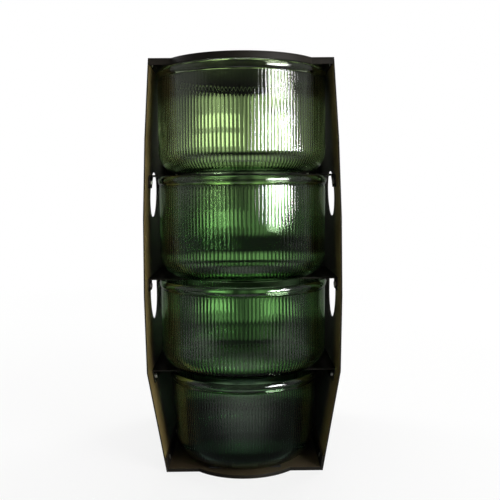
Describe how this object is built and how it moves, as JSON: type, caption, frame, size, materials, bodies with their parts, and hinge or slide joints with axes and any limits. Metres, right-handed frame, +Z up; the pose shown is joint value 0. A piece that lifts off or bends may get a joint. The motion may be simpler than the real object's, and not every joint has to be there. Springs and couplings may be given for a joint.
{
  "type": "signal head",
  "caption": "Signal head with round fluted green glass lens drums stacked in a bowed dark sheet housing, opal lamp panels behind them and a hinged rear service door.",
  "frame": {"origin": "middle of the bounding box on the surface the part stands on", "axes": "+Z up, the open front faces -Y, +X to the viewer's right"},
  "size_m": [0.2184, 0.2744, 0.46],
  "materials": {
    "housing_paint": "dark bronze enamel, slightly worn at the edges",
    "zinc_steel": "zinc plated",
    "rubber": "matt black rubber",
    "green_glass": "pressed green glass with fine upright flutes",
    "opal_bright": "opal sheet, lit from behind",
    "opal_dim": "opal sheet, dimly lit from behind",
    "opal_off": "opal sheet, unlit",
    "tray_white": "white enamel",
    "circuit_board": "white solder mask",
    "lamp_resin": "clear yellow resin",
    "driver_case": "plain aluminium",
    "terminal_plastic": "dark grey moulded plastic",
    "wire_jacket": "red sleeve",
    "earth_brass": "plain brass",
    "latch_metal": "die-cast, satin"
  },
  "bodies": {
    "housing": {"side_wall_left": "housing_paint", "side_wall_right": "housing_paint", "top_plate": "housing_paint", "top_rim": "housing_paint", "bottom_plate": "housing_paint", "top_rivets": "zinc_steel", "bottom_rivets": "zinc_steel", "rail_upper_left": "housing_paint", "rail_upper_right": "housing_paint", "rail_middle_left": "housing_paint", "rail_middle_right": "housing_paint", "rail_lower_left": "housing_paint", "rail_lower_right": "housing_paint", "rail_screws": "zinc_steel", "seat_strips": "rubber", "floor_strips": "rubber", "opal_panel_1": "opal_bright", "opal_panel_2": "opal_dim", "opal_panel_3": "opal_dim", "opal_panel_4": "opal_off", "panel_rail_left": "housing_paint", "panel_rail_right": "housing_paint", "lamp_tray": "tray_white", "light_baffles": "tray_white", "lamp_board_1": "circuit_board", "lamp_board_2": "circuit_board", "lamp_board_3": "circuit_board", "lamp_board_4": "circuit_board", "lamps": "lamp_resin", "board_screws": "zinc_steel", "driver": "driver_case", "driver_screws": "zinc_steel", "terminal_block": "terminal_plastic", "terminal_screws": "zinc_steel", "wiring_loom": "wire_jacket", "loom_grommets": "rubber", "earth_stud": "earth_brass", "earth_nut": "earth_brass", "back_frame": "housing_paint", "frame_rivets": "zinc_steel", "tray_screws": "zinc_steel", "door_gasket": "rubber", "hinge_leaves_frame": "housing_paint", "hinge_screws_frame": "zinc_steel", "hinge_pins": "zinc_steel", "conduit_hub": "housing_paint", "hub_screws": "zinc_steel", "bottom_plug": "rubber"},
    "door": {"rear_door": "housing_paint", "hinge_leaves_door": "housing_paint", "hinge_screws_door": "zinc_steel", "latch_bushes": "zinc_steel"},
    "latch_upper": {"latch_knob_upper": "latch_metal", "latch_cam_upper": "zinc_steel"},
    "latch_lower": {"latch_knob_lower": "latch_metal", "latch_cam_lower": "zinc_steel"},
    "drum_1": {"lens_drum_1": "green_glass"},
    "drum_2": {"lens_drum_2": "green_glass"},
    "drum_3": {"lens_drum_3": "green_glass"},
    "drum_4": {"lens_drum_4": "green_glass"}
  },
  "joints": [
    {"name": "drum_1_pull", "type": "slide", "parent": "housing", "child": "drum_1", "axis": [0, -1, 0], "range_m": [0, 0.15]},
    {"name": "drum_2_pull", "type": "slide", "parent": "housing", "child": "drum_2", "axis": [0, -1, 0], "range_m": [0, 0.15]},
    {"name": "drum_3_pull", "type": "slide", "parent": "housing", "child": "drum_3", "axis": [0, -1, 0], "range_m": [0, 0.15]},
    {"name": "drum_4_pull", "type": "slide", "parent": "housing", "child": "drum_4", "axis": [0, -1, 0], "range_m": [0, 0.15]},
    {"name": "door_swing", "type": "hinge", "parent": "housing", "child": "door", "pos_m": [-0.0865, 0.12385, 0.225], "axis": [0, 0, 1], "range_deg": [0, 110]},
    {"name": "latch_upper_turn", "type": "hinge", "parent": "door", "child": "latch_upper", "pos_m": [0.064, 0.12385, 0.335], "axis": [0, 1, 0], "range_deg": [0, 90]},
    {"name": "latch_lower_turn", "type": "hinge", "parent": "door", "child": "latch_lower", "pos_m": [0.064, 0.12385, 0.12], "axis": [0, 1, 0], "range_deg": [0, 90]}
  ]
}
